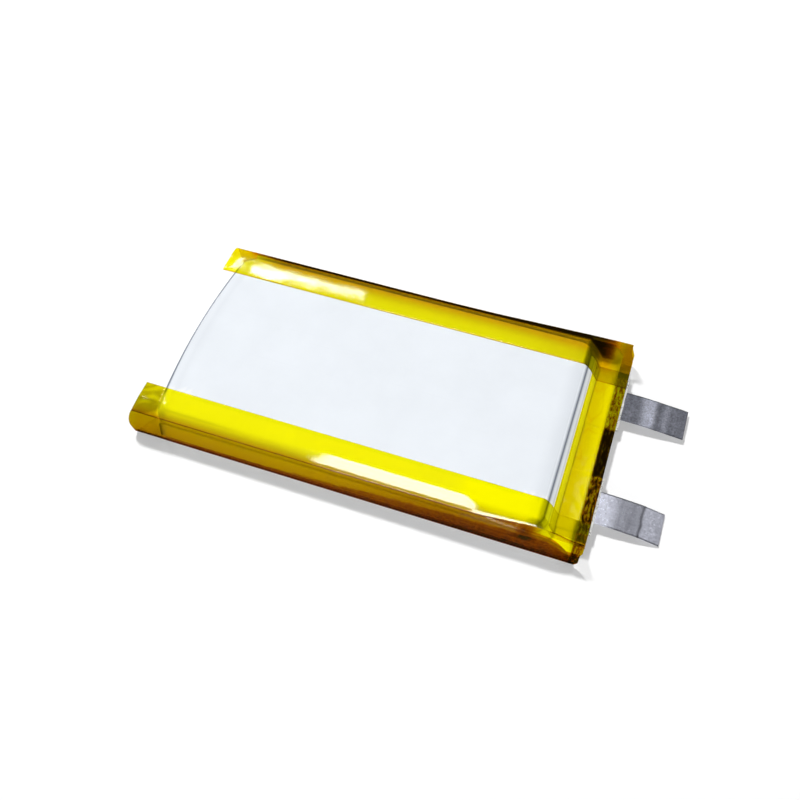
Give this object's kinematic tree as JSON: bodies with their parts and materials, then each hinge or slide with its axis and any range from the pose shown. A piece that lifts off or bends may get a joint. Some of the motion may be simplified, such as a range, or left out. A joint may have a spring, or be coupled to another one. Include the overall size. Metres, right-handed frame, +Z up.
{
  "type": "pouch battery cell",
  "caption": "Flat rechargeable pouch cell: laminate pouch with folded side seals under amber tape, a wound electrode roll inside and metal foil tabs at one end.",
  "frame": {"origin": "on the resting surface, under the middle of the overall length from the longer side tape's free end to the tab ends, and of the width", "axes": "+X along the length, from the folded end towards the tabs; +Y across the width, towards the negative tab; +Z up, through the thickness"},
  "size_m": [0.0756, 0.035, 0.005],
  "materials": {
    "laminate": "satin nylon-coated foil",
    "amber_tape": "clear glossy amber",
    "positive_metal": "bright rolled foil",
    "negative_metal": "dull nickel foil",
    "sealing_film": "milky heat-seal film",
    "cathode_coating": "matte calendered coating",
    "anode_coating": "matte calendered coating",
    "separator": "milky film",
    "inner_tape": "thin adhesive tape"
  },
  "bodies": {
    "cell": {"pouch_upper_shell": "laminate", "pouch_lower_shell": "laminate", "positive_side_tape": "amber_tape", "negative_side_tape": "amber_tape", "terrace_tape_upper": "amber_tape", "terrace_tape_lower": "amber_tape", "positive_tab_root": "positive_metal", "positive_film_upper": "sealing_film", "positive_film_lower": "sealing_film", "negative_tab_root": "negative_metal", "negative_film_upper": "sealing_film", "negative_film_lower": "sealing_film", "cathode_strip": "cathode_coating", "anode_strip": "anode_coating", "inner_separator": "separator", "outer_separator": "separator", "cathode_weld_tape": "inner_tape", "anode_weld_tape": "inner_tape", "roll_closing_tape": "inner_tape", "roll_bottom_tape": "inner_tape"},
    "positive_lead": {"positive_tab": "positive_metal"},
    "negative_lead": {"negative_tab": "negative_metal"}
  },
  "joints": [
    {"name": "positive_tab_fold", "type": "hinge", "parent": "cell", "child": "positive_lead", "pos_m": [0.02902, -0.0087, 0.0014], "axis": [0, -1, 0], "range_deg": [-90, 90]},
    {"name": "negative_tab_fold", "type": "hinge", "parent": "cell", "child": "negative_lead", "pos_m": [0.02902, 0.0087, 0.0014], "axis": [0, -1, 0], "range_deg": [-90, 90]}
  ]
}
